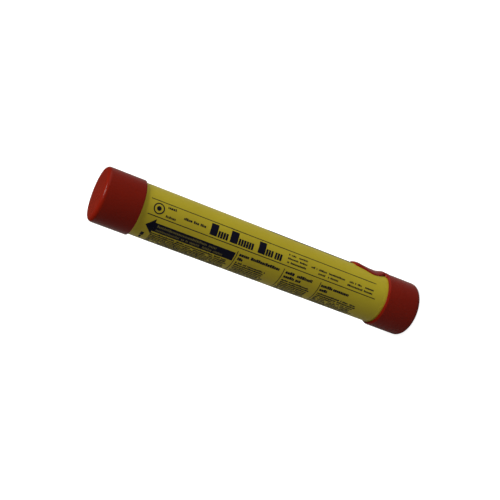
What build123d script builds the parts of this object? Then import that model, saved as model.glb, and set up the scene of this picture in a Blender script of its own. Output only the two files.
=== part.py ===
"""Hand-held parachute signal rocket: launching tube, snap caps, firing gear and rocket."""
import os
from build123d import *

# ---- Driving dimensions, millimetres. +Z runs from the foot to the muzzle. ----
overall_length = 289.0
tube_radius = 21.5
tube_bore_radius = 20.0
tube_low_z = 16.0
tube_high_z = 286.7
label_low_z = 35.3
label_high_z = 254.3
label_film = 0.25

cap_bore_radius = 21.6
bottom_cap_radius = 23.45
bottom_cap_height = 33.3
bottom_cap_floor = 2.0
bottom_cap_corner = 6.8
bottom_cap_lip = 1.7
top_cap_radius = 22.9
top_cap_height = 32.7
top_cap_roof = 2.0
top_cap_corner = 3.4
top_cap_lip = 1.0

seal_groove_radius = 20.6
seal_section_radius = 0.45
bottom_seal_z = 25.0
top_seal_z = 273.0

flange_low_z = 13.0
flange_radius = 21.3
plug_radius = 19.95
plug_high_z = 44.0
striker_bore_radius = 4.0
striker_bore_end_z = 31.0
primer_face_z = 34.0
striker_travel = 2.6

hinge_x = -14.0
hinge_z = 8.5
hinge_pin_radius = 1.48
lever_width = 9.8
lever_reach = 31.0
lever_thickness = 2.4

rocket_radius = 19.6
motor_bore_radius = 18.05
payload_bore_radius = 18.6
motor_low_z = 48.0
motor_high_z = 150.0
payload_high_z = 268.0
nose_high_z = 281.0

# Thumb tab: distance up from the cap's rim, half width across the tube, height over the tube
tab_outline = [
    (0.1, 9.4), (0.5, 8.1), (1.2, 7.3), (2.2, 7.4), (3.6, 8.4), (5.5, 9.6), (7.6, 10.6),
    (10.4, 11.5), (13.0, 11.8), (16.0, 11.4), (19.3, 10.4), (22.9, 9.1), (26.0, 8.3),
    (29.0, 7.1), (30.8, 4.5), (31.4, 0.0),
]
tab_heights = [
    (0.1, 2.2), (0.8, 2.5), (1.6, 2.45), (2.8, 2.05), (4.2, 1.65), (6.2, 1.05), (8.0, 0.62),
    (12.0, 0.58), (16.0, 0.75), (19.0, 1.1), (23.0, 1.6), (27.0, 2.0), (29.5, 1.75),
    (31.6, 1.1),
]
tab_clearance = 0.1

top_cap_low_z = overall_length - top_cap_height
os.makedirs("parts", exist_ok=True)

# ---- Launching tube: plain drawn tube with a label recess and two seal grooves ----
with BuildPart() as launch_tube:
    with BuildSketch(Plane.XY.offset(tube_low_z)):
        Circle(tube_radius)
        Circle(tube_bore_radius, mode=Mode.SUBTRACT)
    extrude(amount=tube_high_z - tube_low_z)
    with BuildSketch(Plane.XY.offset(label_low_z)):
        Circle(tube_radius + 1)
        Circle(tube_radius - label_film, mode=Mode.SUBTRACT)
    extrude(amount=label_high_z - label_low_z, mode=Mode.SUBTRACT)
    with BuildSketch(Plane.XY.offset(bottom_seal_z - 0.55)):
        Circle(tube_radius + 1)
        Circle(seal_groove_radius, mode=Mode.SUBTRACT)
    extrude(amount=1.1, mode=Mode.SUBTRACT)
    with BuildSketch(Plane.XY.offset(top_seal_z - 0.55)):
        Circle(tube_radius + 1)
        Circle(seal_groove_radius, mode=Mode.SUBTRACT)
    extrude(amount=1.1, mode=Mode.SUBTRACT)
    chamfer(launch_tube.edges().filter_by(GeomType.CIRCLE).group_by(Axis.Z)[-1], 0.4)

# ---- Printed film wrapped round the tube ----
with BuildPart() as printed_label:
    with BuildSketch(Plane.XY.offset(label_low_z + 0.05)):
        Circle(tube_radius)
        Circle(tube_radius - label_film + 0.02, mode=Mode.SUBTRACT)
    extrude(amount=label_high_z - label_low_z - 0.1)

# ---- Seal rings under the two caps ----
with BuildPart() as bottom_seal_ring:
    with BuildSketch(Plane.XZ):
        with Locations((seal_groove_radius + seal_section_radius + 0.03, bottom_seal_z)):
            Circle(seal_section_radius)
    revolve(axis=Axis.Z)

with BuildPart() as top_seal_ring:
    with BuildSketch(Plane.XZ):
        with Locations((seal_groove_radius + seal_section_radius + 0.03, top_seal_z)):
            Circle(seal_section_radius)
    revolve(axis=Axis.Z)

# ---- Bottom cap: deep cup with a large outer corner and a rounded lip ----
with BuildPart() as bottom_cap:
    with BuildSketch(Plane.XY):
        Circle(bottom_cap_radius)
    extrude(amount=bottom_cap_height)
    with BuildSketch(Plane.XY.offset(bottom_cap_floor)):
        Circle(cap_bore_radius)
    extrude(amount=bottom_cap_height, mode=Mode.SUBTRACT)
    cap_circles = bottom_cap.edges().filter_by(GeomType.CIRCLE).group_by(Axis.Z)
    fillet(cap_circles[1], 4.5)
    fillet(bottom_cap.edges().filter_by(GeomType.CIRCLE).group_by(Axis.Z)[0], bottom_cap_corner)
    rim_circles = bottom_cap.edges().filter_by(GeomType.CIRCLE).group_by(Axis.Z)[-1]
    fillet(rim_circles.sort_by(SortBy.RADIUS)[-1], bottom_cap_lip)

# ---- Thumb tab: thin leaf that lies on the tube above the cap's rim, at +X ----
with BuildPart() as thumb_tab:
    with BuildSketch(Plane.XZ):
        with BuildLine():
            crest = Polyline([(tube_radius + height, bottom_cap_height + up) for up, height in tab_heights])
            Line(crest @ 1, (tube_radius + tab_clearance, bottom_cap_height + tab_heights[-1][0]))
            Line(
                (tube_radius + tab_clearance, bottom_cap_height + tab_heights[-1][0]),
                (tube_radius + tab_clearance, bottom_cap_height + tab_heights[0][0]),
            )
            Line((tube_radius + tab_clearance, bottom_cap_height + tab_heights[0][0]), crest @ 0)
        make_face()
    revolve(axis=Axis.Z)
    with BuildSketch(Plane.YZ):
        with BuildLine():
            left_side = Spline([(-half, bottom_cap_height + up) for up, half in tab_outline])
            right_side = Spline([(half, bottom_cap_height + up) for up, half in tab_outline])
            Line(left_side @ 0, right_side @ 0)
        make_face()
    extrude(amount=tube_radius + 5, mode=Mode.INTERSECT)

# ---- Top cap: shallower wall, tighter corner ----
with BuildPart() as top_cap:
    with BuildSketch(Plane.XY.offset(top_cap_low_z)):
        Circle(top_cap_radius)
    extrude(amount=top_cap_height)
    with BuildSketch(Plane.XY.offset(top_cap_low_z)):
        Circle(cap_bore_radius)
    extrude(amount=top_cap_height - top_cap_roof, mode=Mode.SUBTRACT)
    fillet(top_cap.edges().filter_by(GeomType.CIRCLE).group_by(Axis.Z)[-1], top_cap_corner)
    lip_circles = top_cap.edges().filter_by(GeomType.CIRCLE).group_by(Axis.Z)[0]
    fillet(lip_circles.sort_by(SortBy.RADIUS)[-1], top_cap_lip)

with BuildPart() as cap_pad:
    with BuildSketch(Plane.XY.offset(284.0)):
        Circle(19.7)
    extrude(amount=2.9)
    fillet(cap_pad.edges().filter_by(GeomType.CIRCLE).group_by(Axis.Z)[0], 0.8)

# ---- Igniter body: flange and plug that close the tube, with lugs for the lever ----
with BuildPart() as igniter_body:
    with BuildSketch(Plane.XY.offset(flange_low_z)):
        Circle(flange_radius)
    extrude(amount=tube_low_z - 0.05 - flange_low_z)
    with BuildSketch(Plane.XY.offset(tube_low_z - 0.05)):
        Circle(plug_radius)
    extrude(amount=plug_high_z - tube_low_z + 0.05)
    with BuildSketch(Plane.XY.offset(22.0)):
        Circle(17.2)
        Circle(9.6, mode=Mode.SUBTRACT)
    extrude(amount=plug_high_z - 22.0, mode=Mode.SUBTRACT)
    for lug_start in (5.2, -8.2):
        with BuildSketch(Plane.XZ.offset(lug_start)):
            with Locations((hinge_x, hinge_z)):
                Circle(3.2)
            with Locations((hinge_x, hinge_z + 2.5)):
                Rectangle(6.4, 5.0)
        extrude(amount=3.0)
    with BuildSketch(Plane.XZ.offset(10.0)):
        with Locations((hinge_x, hinge_z)):
            Circle(1.5)
    extrude(amount=-20.0, mode=Mode.SUBTRACT)
    with BuildSketch(Plane.XY.offset(flange_low_z)):
        Circle(striker_bore_radius)
    extrude(amount=striker_bore_end_z - flange_low_z, mode=Mode.SUBTRACT)
    with BuildSketch(Plane.XY.offset(striker_bore_end_z)):
        Circle(1.3)
    extrude(amount=primer_face_z - striker_bore_end_z, mode=Mode.SUBTRACT)
    with BuildSketch(Plane.XY.offset(primer_face_z)):
        Circle(7.0)
    extrude(amount=plug_high_z - primer_face_z, mode=Mode.SUBTRACT)

with BuildPart() as lever_pin:
    with BuildSketch(Plane.XZ.offset(8.7)):
        with Locations((hinge_x, hinge_z)):
            Circle(hinge_pin_radius)
    extrude(amount=-17.4)
    chamfer(lever_pin.edges().filter_by(GeomType.CIRCLE), 0.3)

# ---- Trigger lever: hub on the pin and a ridged tongue folded across the foot ----
with BuildPart() as trigger_lever:
    with BuildSketch(Plane.XZ.offset(-lever_width / 2)):
        with Locations((hinge_x, hinge_z)):
            Circle(2.9)
        with Locations((hinge_x + lever_reach / 2, hinge_z - 1.7)):
            Rectangle(lever_reach, lever_thickness)
        for ridge in range(4):
            with Locations((8.0 + 2.4 * ridge, hinge_z - 3.1)):
                Rectangle(1.1, 1.0)
    extrude(amount=lever_width)
    with BuildSketch(Plane.XZ.offset(10.0)):
        with Locations((hinge_x, hinge_z)):
            Circle(1.55)
    extrude(amount=-20.0, mode=Mode.SUBTRACT)
    tip_edges = trigger_lever.edges().filter_by(Axis.Z).group_by(Axis.X)[-1]
    fillet(tip_edges, 3.0)

# ---- Striker, its firing pin, spring and retaining ring ----
with BuildPart() as striker:
    with BuildSketch(Plane.XY.offset(9.5)):
        Circle(2.5)
    extrude(amount=5.5)
    with BuildSketch(Plane.XY.offset(15.0)):
        Circle(striker_bore_radius - 0.1)
    extrude(amount=7.0)
    with BuildSketch(Plane.XY.offset(22.0)):
        Circle(2.2)
    extrude(amount=5.0)
    with BuildSketch(Plane.XY.offset(24.0)):
        Circle(1.03)
    extrude(amount=3.0, mode=Mode.SUBTRACT)
    fillet(striker.edges().filter_by(GeomType.CIRCLE).group_by(Axis.Z)[0], 0.8)

with BuildPart() as firing_pin:
    with BuildSketch(Plane.XY.offset(24.05)):
        Circle(1.0)
    extrude(amount=7.25)
    fillet(firing_pin.edges().filter_by(GeomType.CIRCLE).group_by(Axis.Z)[-1], 0.6)

with BuildPart() as striker_spring:
    with BuildLine() as spring_path:
        Helix(pitch=1.9, height=8.2, radius=3.1, center=(0, 0, 22.4))
    with BuildSketch(Plane(origin=spring_path.line @ 0, z_dir=spring_path.line % 0)):
        Circle(0.3)
    sweep(is_frenet=True)

with BuildPart() as striker_retainer:
    with BuildSketch(Plane.XY.offset(13.2)):
        Circle(striker_bore_radius - 0.03)
        Circle(2.75, mode=Mode.SUBTRACT)
    extrude(amount=1.5)

# ---- Primer holder, primer and flash tube above the striker ----
with BuildPart() as primer_holder:
    with BuildSketch(Plane.XY.offset(primer_face_z)):
        Circle(6.95)
    extrude(amount=plug_high_z - primer_face_z)
    with BuildSketch(Plane.XY.offset(primer_face_z)):
        Circle(2.3)
    extrude(amount=3.0, mode=Mode.SUBTRACT)
    with BuildSketch(Plane.XY.offset(primer_face_z)):
        Circle(1.6)
    extrude(amount=10.0, mode=Mode.SUBTRACT)
    with BuildSketch(Plane.XY.offset(plug_high_z - 4.0)):
        Circle(2.5)
    extrude(amount=4.0, mode=Mode.SUBTRACT)

with BuildPart() as percussion_primer:
    with BuildSketch(Plane.XY.offset(primer_face_z + 0.1)):
        Circle(2.25)
    extrude(amount=2.8)
    fillet(percussion_primer.edges().filter_by(GeomType.CIRCLE).group_by(Axis.Z)[0], 0.4)

with BuildPart() as flash_tube:
    with BuildSketch(Plane.XY.offset(plug_high_z - 3.9)):
        Circle(2.45)
        Circle(1.6, mode=Mode.SUBTRACT)
    extrude(amount=6.7)

# ---- Rocket motor ----
with BuildPart() as nozzle_seal:
    with BuildSketch(Plane.XY.offset(motor_low_z - 0.8)):
        Circle(19.0)
    extrude(amount=0.7)

with BuildPart() as nozzle:
    with BuildSketch(Plane.XZ):
        with BuildLine():
            Polyline(
                (9.0, motor_low_z),
                (17.95, motor_low_z),
                (17.95, motor_low_z + 18.0),
                (10.0, motor_low_z + 18.0),
                (3.5, motor_low_z + 11.0),
                (3.5, motor_low_z + 9.0),
                (9.0, motor_low_z),
            )
        make_face()
    revolve(axis=Axis.Z)

with BuildPart() as motor_case:
    with BuildSketch(Plane.XY.offset(motor_low_z)):
        Circle(rocket_radius)
        Circle(motor_bore_radius, mode=Mode.SUBTRACT)
    extrude(amount=motor_high_z - motor_low_z)

with BuildPart() as propellant_grain:
    with BuildSketch(Plane.XY.offset(67.0)):
        Circle(17.9)
        Circle(5.5, mode=Mode.SUBTRACT)
    extrude(amount=68.0)

with BuildPart() as motor_head_plug:
    with BuildSketch(Plane.XY.offset(136.0)):
        Circle(17.95)
    extrude(amount=motor_high_z + 0.05 - 136.0)
    with BuildSketch(Plane.XY.offset(motor_high_z + 0.05)):
        Circle(18.5)
    extrude(amount=8.0)
    with BuildSketch(Plane.XY.offset(136.0)):
        Circle(3.0)
    extrude(amount=30.0, mode=Mode.SUBTRACT)

with BuildPart() as delay_element:
    with BuildSketch(Plane.XY.offset(137.0)):
        Circle(2.95)
    extrude(amount=20.0)

with BuildPart() as ejection_cup:
    with BuildSketch(Plane.XY.offset(158.2)):
        Circle(18.4)
    extrude(amount=8.0)
    with BuildSketch(Plane.XY.offset(159.4)):
        Circle(17.2)
    extrude(amount=8.0, mode=Mode.SUBTRACT)
    with BuildSketch(Plane.XY.offset(158.2)):
        Circle(2.0)
    extrude(amount=2.0, mode=Mode.SUBTRACT)

with BuildPart() as payload_tube:
    with BuildSketch(Plane.XY.offset(motor_high_z + 0.1)):
        Circle(rocket_radius)
        Circle(payload_bore_radius, mode=Mode.SUBTRACT)
    extrude(amount=payload_high_z - motor_high_z - 0.1)

# ---- Payload: light candle in its case, swivel eye, folded parachute and wadding ----
with BuildPart() as candle_case:
    with BuildSketch(Plane.XY.offset(168.0)):
        Circle(17.6)
    extrude(amount=54.0)
    with BuildSketch(Plane.XY.offset(168.0)):
        Circle(16.6)
    extrude(amount=52.5, mode=Mode.SUBTRACT)

with BuildPart() as light_candle:
    with BuildSketch(Plane.XY.offset(168.5)):
        Circle(16.5)
    extrude(amount=51.8)

with BuildPart() as swivel_eye:
    with BuildSketch(Plane.XY.offset(222.05)):
        Circle(3.2)
    extrude(amount=1.6)
    with BuildSketch(Plane.XZ):
        with Locations((0.0, 229.3)):
            Circle(0.7)
    revolve(axis=Axis((0, 0, 226.4), (1, 0, 0)))

with BuildPart() as packed_parachute:
    with BuildSketch(Plane.XY.offset(231.0)):
        Circle(17.9)
    extrude(amount=27.0)
    fillet(packed_parachute.edges().filter_by(GeomType.CIRCLE), 3.0)

with BuildPart() as wadding_disc:
    with BuildSketch(Plane.XY.offset(258.6)):
        Circle(18.2)
    extrude(amount=3.4)

# ---- Nose cap with its spigot in the payload tube, and the seal pushed out ahead of it ----
with BuildPart() as nose_cap:
    with BuildSketch(Plane.XY.offset(payload_high_z + 0.1)):
        Circle(rocket_radius)
    extrude(amount=nose_high_z - payload_high_z - 0.1)
    fillet(nose_cap.edges().filter_by(GeomType.CIRCLE).group_by(Axis.Z)[-1], 5.0)
    with BuildSketch(Plane.XY.offset(263.0)):
        Circle(18.55)
    extrude(amount=payload_high_z + 0.1 - 263.0)
    with BuildSketch(Plane.XY.offset(263.0)):
        Circle(15.5)
    extrude(amount=15.5, mode=Mode.SUBTRACT)

with BuildPart() as muzzle_seal_disc:
    with BuildSketch(Plane.XY.offset(282.0)):
        Circle(19.8)
    extrude(amount=1.4)

# ---- Labels and files ----
launch_tube.part.label = "launch_tube"
printed_label.part.label = "printed_label"
bottom_seal_ring.part.label = "bottom_seal_ring"
top_seal_ring.part.label = "top_seal_ring"
bottom_cap.part.label = "bottom_cap"
thumb_tab.part.label = "thumb_tab"
top_cap.part.label = "top_cap"
cap_pad.part.label = "cap_pad"
igniter_body.part.label = "igniter_body"
lever_pin.part.label = "lever_pin"
trigger_lever.part.label = "trigger_lever"
striker.part.label = "striker"
firing_pin.part.label = "firing_pin"
striker_spring.part.label = "striker_spring"
striker_retainer.part.label = "striker_retainer"
primer_holder.part.label = "primer_holder"
percussion_primer.part.label = "percussion_primer"
flash_tube.part.label = "flash_tube"
nozzle_seal.part.label = "nozzle_seal"
nozzle.part.label = "nozzle"
motor_case.part.label = "motor_case"
propellant_grain.part.label = "propellant_grain"
motor_head_plug.part.label = "motor_head_plug"
delay_element.part.label = "delay_element"
ejection_cup.part.label = "ejection_cup"
payload_tube.part.label = "payload_tube"
candle_case.part.label = "candle_case"
light_candle.part.label = "light_candle"
swivel_eye.part.label = "swivel_eye"
packed_parachute.part.label = "packed_parachute"
wadding_disc.part.label = "wadding_disc"
nose_cap.part.label = "nose_cap"
muzzle_seal_disc.part.label = "muzzle_seal_disc"

export_step(launch_tube.part, "parts/launch_tube.step")
export_step(printed_label.part, "parts/printed_label.step")
export_step(bottom_seal_ring.part, "parts/bottom_seal_ring.step")
export_step(top_seal_ring.part, "parts/top_seal_ring.step")
export_step(bottom_cap.part, "parts/bottom_cap.step")
export_step(thumb_tab.part, "parts/thumb_tab.step")
export_step(top_cap.part, "parts/top_cap.step")
export_step(cap_pad.part, "parts/cap_pad.step")
export_step(igniter_body.part, "parts/igniter_body.step")
export_step(lever_pin.part, "parts/lever_pin.step")
export_step(trigger_lever.part, "parts/trigger_lever.step")
export_step(striker.part, "parts/striker.step")
export_step(firing_pin.part, "parts/firing_pin.step")
export_step(striker_spring.part, "parts/striker_spring.step")
export_step(striker_retainer.part, "parts/striker_retainer.step")
export_step(primer_holder.part, "parts/primer_holder.step")
export_step(percussion_primer.part, "parts/percussion_primer.step")
export_step(flash_tube.part, "parts/flash_tube.step")
export_step(nozzle_seal.part, "parts/nozzle_seal.step")
export_step(nozzle.part, "parts/nozzle.step")
export_step(motor_case.part, "parts/motor_case.step")
export_step(propellant_grain.part, "parts/propellant_grain.step")
export_step(motor_head_plug.part, "parts/motor_head_plug.step")
export_step(delay_element.part, "parts/delay_element.step")
export_step(ejection_cup.part, "parts/ejection_cup.step")
export_step(payload_tube.part, "parts/payload_tube.step")
export_step(candle_case.part, "parts/candle_case.step")
export_step(light_candle.part, "parts/light_candle.step")
export_step(swivel_eye.part, "parts/swivel_eye.step")
export_step(packed_parachute.part, "parts/packed_parachute.step")
export_step(wadding_disc.part, "parts/wadding_disc.step")
export_step(nose_cap.part, "parts/nose_cap.step")
export_step(muzzle_seal_disc.part, "parts/muzzle_seal_disc.step")
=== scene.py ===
import bpy
import bmesh
import numpy as np
from mathutils import Matrix, Vector


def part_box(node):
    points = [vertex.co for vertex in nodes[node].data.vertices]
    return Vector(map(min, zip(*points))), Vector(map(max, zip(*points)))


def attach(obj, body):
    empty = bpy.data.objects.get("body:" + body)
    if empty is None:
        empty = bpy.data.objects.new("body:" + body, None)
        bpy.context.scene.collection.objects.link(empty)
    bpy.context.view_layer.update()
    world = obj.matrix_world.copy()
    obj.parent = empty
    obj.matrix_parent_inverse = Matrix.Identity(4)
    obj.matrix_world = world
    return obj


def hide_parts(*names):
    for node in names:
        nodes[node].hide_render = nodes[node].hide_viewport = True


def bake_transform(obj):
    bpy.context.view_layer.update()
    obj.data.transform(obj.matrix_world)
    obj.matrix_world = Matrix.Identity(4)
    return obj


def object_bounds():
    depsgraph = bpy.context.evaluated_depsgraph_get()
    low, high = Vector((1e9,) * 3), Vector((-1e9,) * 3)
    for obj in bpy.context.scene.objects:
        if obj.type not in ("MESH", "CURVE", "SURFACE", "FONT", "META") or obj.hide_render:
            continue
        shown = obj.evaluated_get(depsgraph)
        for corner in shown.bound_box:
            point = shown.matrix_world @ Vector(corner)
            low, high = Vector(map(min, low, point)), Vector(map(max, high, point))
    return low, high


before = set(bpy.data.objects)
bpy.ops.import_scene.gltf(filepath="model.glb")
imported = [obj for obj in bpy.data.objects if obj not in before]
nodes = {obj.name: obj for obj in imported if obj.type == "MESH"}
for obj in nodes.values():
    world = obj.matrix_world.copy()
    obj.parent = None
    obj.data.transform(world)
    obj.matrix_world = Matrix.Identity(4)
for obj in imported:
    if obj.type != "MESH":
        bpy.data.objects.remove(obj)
cadLow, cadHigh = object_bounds()
mm = 0.001
print("frame loaded:", len(nodes), "nodes")


# a smooth curve through (xs, ys): cubic Hermite pieces whose slopes are the finite differences
def smoothCurve(x, xs, ys):
    xs, ys = np.asarray(xs, float), np.asarray(ys, float)
    slopes = np.gradient(ys, xs)
    i = np.clip(np.searchsorted(xs, x) - 1, 0, len(xs) - 2)
    h = xs[i + 1] - xs[i]
    t = (x - xs[i]) / h
    return ((2 * t**3 - 3 * t**2 + 1) * ys[i] + (t**3 - 2 * t**2 + t) * h * slopes[i]
            + (3 * t**2 - 2 * t**3) * ys[i + 1] + (t**3 - t**2) * h * slopes[i + 1])


# a corner whose half angle is past "straight" is only a point on a side, and no arc takes more than
# "sideShare" of a side
cornerLimits = {"straight": 1.57, "sideShare": 0.49}


# corners (r, z, rounding) in mm to a profile in metres: each rounded corner becomes an arc that is
# tangent to both of its sides, centred on the corner's bisector
def roundedProfile(corners, closed=False, steps=7):
    pts = np.array([c[:2] for c in corners], float)
    out = []
    count = len(corners)
    for i, corner in enumerate(corners):
        here = pts[i]
        if (not closed and i in (0, count - 1)) or corner[2] <= 0:
            out.append(here[None])
            continue
        before = pts[i - 1] - here
        after = pts[(i + 1) % count] - here
        lenBefore, lenAfter = np.linalg.norm(before), np.linalg.norm(after)
        before, after = before / lenBefore, after / lenAfter
        half = np.arccos(np.clip(before @ after, -1, 1)) / 2
        if half > cornerLimits["straight"]:
            out.append(np.repeat(here[None], steps, 0))
            continue
        radius = min(corner[2], cornerLimits["sideShare"] * min(lenBefore, lenAfter) * np.tan(half))
        centre = here + (before + after) / np.linalg.norm(before + after) * radius / np.sin(half)
        first = here + before * radius / np.tan(half) - centre
        last = here + after * radius / np.tan(half) - centre
        sweep = np.pi - 2 * half
        t = np.linspace(0, 1, steps)[:, None]
        out.append(centre + (np.sin((1 - t) * sweep) * first + np.sin(t * sweep) * last) / np.sin(sweep))
    return np.concatenate(out) * mm


# grids of points, each (rows, columns, 3), to one mesh. The quad at (r, c) joins that point to its
# neighbours in row r + 1 and column c + 1, round the back where a direction wraps
def gridData(name, grids, wrapRows=False, wrapColumns=False):
    verts, faces, base = [], [], 0
    for g in grids:
        rows, columns = g.shape[:2]
        r = np.arange(rows if wrapRows else rows - 1)
        c = np.arange(columns if wrapColumns else columns - 1)
        r, c = np.meshgrid(r, c, indexing="ij")
        r2, c2 = (r + 1) % rows, (c + 1) % columns
        quad = np.stack([r * columns + c, r * columns + c2, r2 * columns + c2, r2 * columns + c], -1)
        faces.append(quad.reshape(-1, 4) + base)
        verts.append(g.reshape(-1, 3))
        base += rows * columns
    verts, faces = np.concatenate(verts), np.concatenate(faces)
    mesh = bpy.data.meshes.new(name)
    mesh.from_pydata(verts.tolist(), [], faces.tolist())
    return mesh


# points closer than this, in metres, are one point
weld = 2e-6


# the same grids as an object: doubles are merged, so that poles and seams close, the faces are turned
# outwards, and edges that bend by more than the sharp angle (degrees) stay sharp
def gridMesh(name, grids, wrapRows=False, wrapColumns=False, sharp=32):
    mesh = gridData(name, grids, wrapRows, wrapColumns)
    work = bmesh.new()
    work.from_mesh(mesh)
    bmesh.ops.remove_doubles(work, verts=work.verts, dist=weld)
    bmesh.ops.recalc_face_normals(work, faces=work.faces)
    work.to_mesh(mesh)
    work.free()
    mesh.update()
    mesh.shade_smooth()
    mesh.set_sharp_from_angle(angle=np.radians(sharp))
    piece = bpy.data.objects.new(name, mesh)
    bpy.context.scene.collection.objects.link(piece)
    return piece


# points round the tube's axis, at radius r, height z and angle a from -Y towards +X:
# x = r sin a, y = -r cos a
def around(r, a, z):
    r, a, z = np.broadcast_arrays(r, a, z)
    return np.stack([r * np.sin(a), -r * np.cos(a), z], -1)


# a profile (r, z) turned about the axis, with the angle running along the columns
def turnedGrid(profile, segments):
    a = np.linspace(0, 2 * np.pi, segments, endpoint=False)
    return around(profile[:, 0:1], a, profile[:, 1:2])


# an oval section about the point (r, z): (r + p cos t, z + q sin t)
def ovalSection(r, z, p, q, points):
    t = np.linspace(0, 2 * np.pi, points, endpoint=False)
    return np.stack([r + p * np.cos(t), z + q * np.sin(t)], 1)


# a turned piece from its corners, standing for its CAD node. Closed corners are a ring's section, and
# open ones start and end on the axis
def turnedPiece(name, node, body, material, slot, corners, segments, closed=True):
    profile = roundedProfile(corners, closed=closed)
    piece = gridMesh(name, [turnedGrid(profile, segments)], wrapRows=closed, wrapColumns=True)
    finishPiece(piece, body, material, slot, node)


# a piece's finish, the body it rides on, its slot (not used), and the CAD nodes it stands for
def finishPiece(piece, body, material, slot, *replaced):
    piece.data.materials.append(material)
    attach(piece, body)
    if replaced:
        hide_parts(*replaced)


def colour(r, g, b):
    return (r, g, b, 1.0)


# a node group. Its inputs take their kind from their value: a number, a vector of 3 or a colour of 4
def newGroup(name, inputs, outputs):
    group = bpy.data.node_groups.new(name, "ShaderNodeTree")
    for label, value in inputs.items():
        kind = {1: "NodeSocketFloat", 3: "NodeSocketVector", 4: "NodeSocketColor"}[np.size(value)]
        socket = group.interface.new_socket(name=label, in_out="INPUT", socket_type=kind)
        socket.default_value = value
    for label, kind in outputs.items():
        group.interface.new_socket(name=label, in_out="OUTPUT", socket_type=kind)
    return group, group.nodes.new("NodeGroupInput").outputs, group.nodes.new("NodeGroupOutput")


# a socket takes a plain value, or a link from another socket
def feed(tree, socket, value):
    if isinstance(value, bpy.types.NodeSocket):
        tree.links.new(value, socket)
    else:
        socket.default_value = value


def feedAll(tree, node, values):
    for label, value in values.items():
        feed(tree, node.inputs[label], value)


def mathNode(tree, operation, a, b, clamp=False):
    node = tree.nodes.new("ShaderNodeMath")
    node.operation = operation
    node.use_clamp = clamp
    feed(tree, node.inputs[0], a)
    feed(tree, node.inputs[1], b)
    return node.outputs[0]


def noiseNode(tree, vector, scale, detail, roughness):
    node = tree.nodes.new("ShaderNodeTexNoise")
    feedAll(tree, node, {"Vector": vector, "Scale": scale, "Detail": detail, "Roughness": roughness})
    return node.outputs["Fac"]


def rangeNode(tree, value, low, high, toLow=0.0, toHigh=1.0):
    node = tree.nodes.new("ShaderNodeMapRange")
    ends = {"From Min": low, "From Max": high, "To Min": toLow, "To Max": toHigh}
    feedAll(tree, node, {"Value": value, **ends})
    return node.outputs["Result"]


def mixColour(tree, factor, a, b):
    node = tree.nodes.new("ShaderNodeMix")
    node.data_type = "RGBA"
    feedAll(tree, node, {"Factor": factor, "A": a, "B": b})
    return node.outputs["Result"]


def scaledPlace(tree, vector, scale):
    node = tree.nodes.new("ShaderNodeMapping")
    feedAll(tree, node, {"Vector": vector, "Scale": scale})
    return node.outputs["Vector"]


skinOutputs = {"Colour": "NodeSocketColor", "Roughness": "NodeSocketFloat", "Height": "NodeSocketFloat"}
maskOutput = {"Mask": "NodeSocketFloat"}


# moulded plastic: a cloudy change of colour and roughness, and a fine skin texture
def buildMouldGroup():
    tree, given, out = newGroup("mouldedSkin", {
        "Vector": (0, 0, 0), "Colour": colour(0.8, 0.8, 0.8), "Shade": colour(0.6, 0.6, 0.6),
        "Cloud Scale": 30.0, "Skin Scale": 1800.0, "Roughness": 0.35, "Roughness Change": 0.1}, skinOutputs)
    cloud = noiseNode(tree, given["Vector"], given["Cloud Scale"], 4.0, 0.6)
    wide = rangeNode(tree, cloud, 0.35, 0.7)
    change = mathNode(tree, "MULTIPLY", mathNode(tree, "SUBTRACT", cloud, 0.5), given["Roughness Change"])
    feedAll(tree, out, {
        "Colour": mixColour(tree, wide, given["Colour"], given["Shade"]),
        "Roughness": mathNode(tree, "ADD", given["Roughness"], change, True),
        "Height": noiseNode(tree, given["Vector"], given["Skin Scale"], 2.0, 0.5)})
    return tree


# handling marks: thin scratches that run along the tube and round it, as a mask
def buildScuffGroup():
    tree, given, out = newGroup("handlingMarks", {"Vector": (0, 0, 0), "Amount": 0.5}, maskOutput)
    place = given["Vector"]
    along = noiseNode(tree, scaledPlace(tree, place, (900, 900, 18)), 1.0, 2.0, 0.6)
    across = noiseNode(tree, scaledPlace(tree, place, (60, 60, 1400)), 1.0, 2.0, 0.6)
    patch = rangeNode(tree, noiseNode(tree, place, 55.0, 3.0, 0.6), 0.48, 0.66)
    along, across = rangeNode(tree, along, 0.66, 0.74), rangeNode(tree, across, 0.68, 0.76)
    lines = mathNode(tree, "MULTIPLY", mathNode(tree, "MAXIMUM", along, across), patch)
    feedAll(tree, out, {"Mask": mathNode(tree, "MULTIPLY", lines, given["Amount"], True)})
    return tree


# dust film: soft specks and a faint haze, as a mask
def buildDustGroup():
    tree, given, out = newGroup("dustFilm", {"Vector": (0, 0, 0), "Amount": 0.3}, maskOutput)
    specks = rangeNode(tree, noiseNode(tree, given["Vector"], 1500.0, 1.0, 0.4), 0.70, 0.78)
    haze = rangeNode(tree, noiseNode(tree, given["Vector"], 24.0, 4.0, 0.65), 0.45, 0.8, 0.0, 0.5)
    both = mathNode(tree, "ADD", specks, haze)
    feedAll(tree, out, {"Mask": mathNode(tree, "MULTIPLY", both, given["Amount"], True)})
    return tree


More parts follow.
